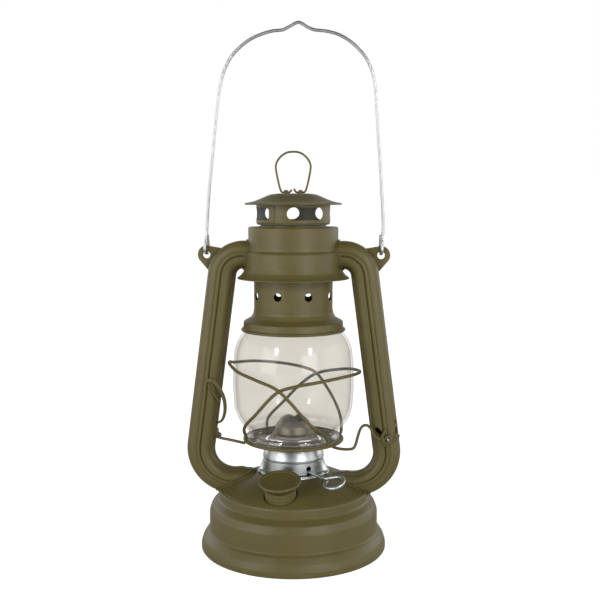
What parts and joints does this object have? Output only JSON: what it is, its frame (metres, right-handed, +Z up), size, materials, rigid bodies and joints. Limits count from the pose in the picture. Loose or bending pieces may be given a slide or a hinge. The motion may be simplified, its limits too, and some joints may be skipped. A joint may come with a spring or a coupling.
{
  "type": "hurricane lantern",
  "caption": "Olive painted hurricane lantern with a glass globe in a crossed wire cage, hollow side tubes, a flat wick burner, a screw filler cap, a lift lever and a tall wire bail",
  "frame": {"origin": "centre of the round foot, on the floor plane", "axes": "+Z up along the globe and chimney, -Y towards the filler cap at the front, +X towards the lift lever"},
  "size_m": [0.1498, 0.13, 0.3636],
  "materials": {
    "paint": "olive enamel paint on pressed steel",
    "zinc": "bright zinc plating on pressed steel",
    "bail_wire": "bright zinc plated wire",
    "spring_steel": "plain spring steel",
    "glass": "clear pressed glass",
    "cotton": "woven cotton",
    "rubber": "black fuel resistant rubber"
  },
  "bodies": {
    "lantern_frame": {"tank_shell": "paint", "tank_floor": "paint", "tank_dome": "paint", "fuel_plate": "zinc", "filler_neck": "paint", "burner_collar": "zinc", "burner_body": "zinc", "flame_dome": "zinc", "wick_tube": "zinc", "side_tube_left": "paint", "side_tube_right": "paint", "ear_left": "paint", "ear_right": "paint", "canopy_band": "paint", "canopy_cap": "paint", "chimney_spring": "spring_steel", "guide_loop": "paint", "arm_boss": "paint", "lever_staple": "paint", "lever_rivet": "zinc"},
    "globe_carrier": {"globe_plate": "paint", "cage_wire_left": "paint", "cage_wire_right": "paint", "globe": "glass"},
    "chimney": {"chimney_flange": "paint", "chimney_tube": "paint", "crown_drum": "paint", "crown_hood": "paint", "ring_bridge_left": "paint", "ring_bridge_right": "paint"},
    "lift_ring": {"lift_ring": "paint"},
    "bail": {"bail": "bail_wire"},
    "lift_lever": {"lift_lever": "paint"},
    "plate_arm": {"plate_arm": "paint"},
    "wick_shaft": {"wick_shaft": "zinc", "wick_wheel_inner": "zinc", "wick_wheel_outer": "zinc"},
    "wick": {"wick": "cotton"},
    "cap_seal": {"filler_gasket": "rubber"},
    "filler_cap": {"filler_cap": "paint"}
  },
  "joints": [
    {"name": "globe_lift", "type": "slide", "parent": "lantern_frame", "child": "globe_carrier", "axis": [0, 0, 1], "range_m": [0, 0.006]},
    {"name": "chimney_lift", "type": "slide", "parent": "globe_carrier", "child": "chimney", "axis": [0, 0, 1], "range_m": [0, 0.008], "stiffness_N_per_m": 400, "springref_m": -0.01, "deforming": ["chimney_spring"]},
    {"name": "ring_swing", "type": "hinge", "parent": "chimney", "child": "lift_ring", "pos_m": [0, 0, 0.2489], "axis": [1, 0, 0], "range_deg": [-85, 85]},
    {"name": "bail_swing", "type": "hinge", "parent": "lantern_frame", "child": "bail", "pos_m": [0, 0, 0.2103], "axis": [1, 0, 0], "range_deg": [-135, 135]},
    {"name": "lever_turn", "type": "hinge", "parent": "lantern_frame", "child": "lift_lever", "pos_m": [0.0663, -0.01145, 0.0801], "axis": [0, 1, 0], "range_deg": [-1, 10]},
    {"name": "arm_turn", "type": "hinge", "parent": "lantern_frame", "child": "plate_arm", "pos_m": [-0.05303, 0, 0.078], "axis": [0, 1, 0], "range_deg": [-20, 1]},
    {"name": "wick_slide", "type": "slide", "parent": "lantern_frame", "child": "wick", "axis": [0, 0, 1], "range_m": [-0.00575, 0.00285]},
    {"name": "wick_turn", "type": "hinge", "parent": "lantern_frame", "child": "wick_shaft", "pos_m": [-0.00166, -0.00144, 0.0578], "axis": [0.6561, -0.7547, 0], "range_deg": [-110, 55]},
    {"name": "cap_rise", "type": "slide", "parent": "lantern_frame", "child": "cap_seal", "axis": [-0.0319, -0.2244, 0.974], "range_m": [0, 0.0061]},
    {"name": "cap_turn", "type": "hinge", "parent": "cap_seal", "child": "filler_cap", "pos_m": [-0.00542, -0.03812, 0.04862], "axis": [-0.0319, -0.2244, 0.974], "range_deg": [0, 540]}
  ],
  "couplings": [
    {"joint": "lever_turn", "follows": "globe_lift", "rad_per_m": 25.77},
    {"joint": "arm_turn", "follows": "globe_lift", "rad_per_m": -49.43},
    {"joint": "wick_turn", "follows": "wick_slide", "rad_per_m": 333.33},
    {"joint": "cap_rise", "follows": "cap_turn", "m_per_rad": 0.0006366}
  ]
}
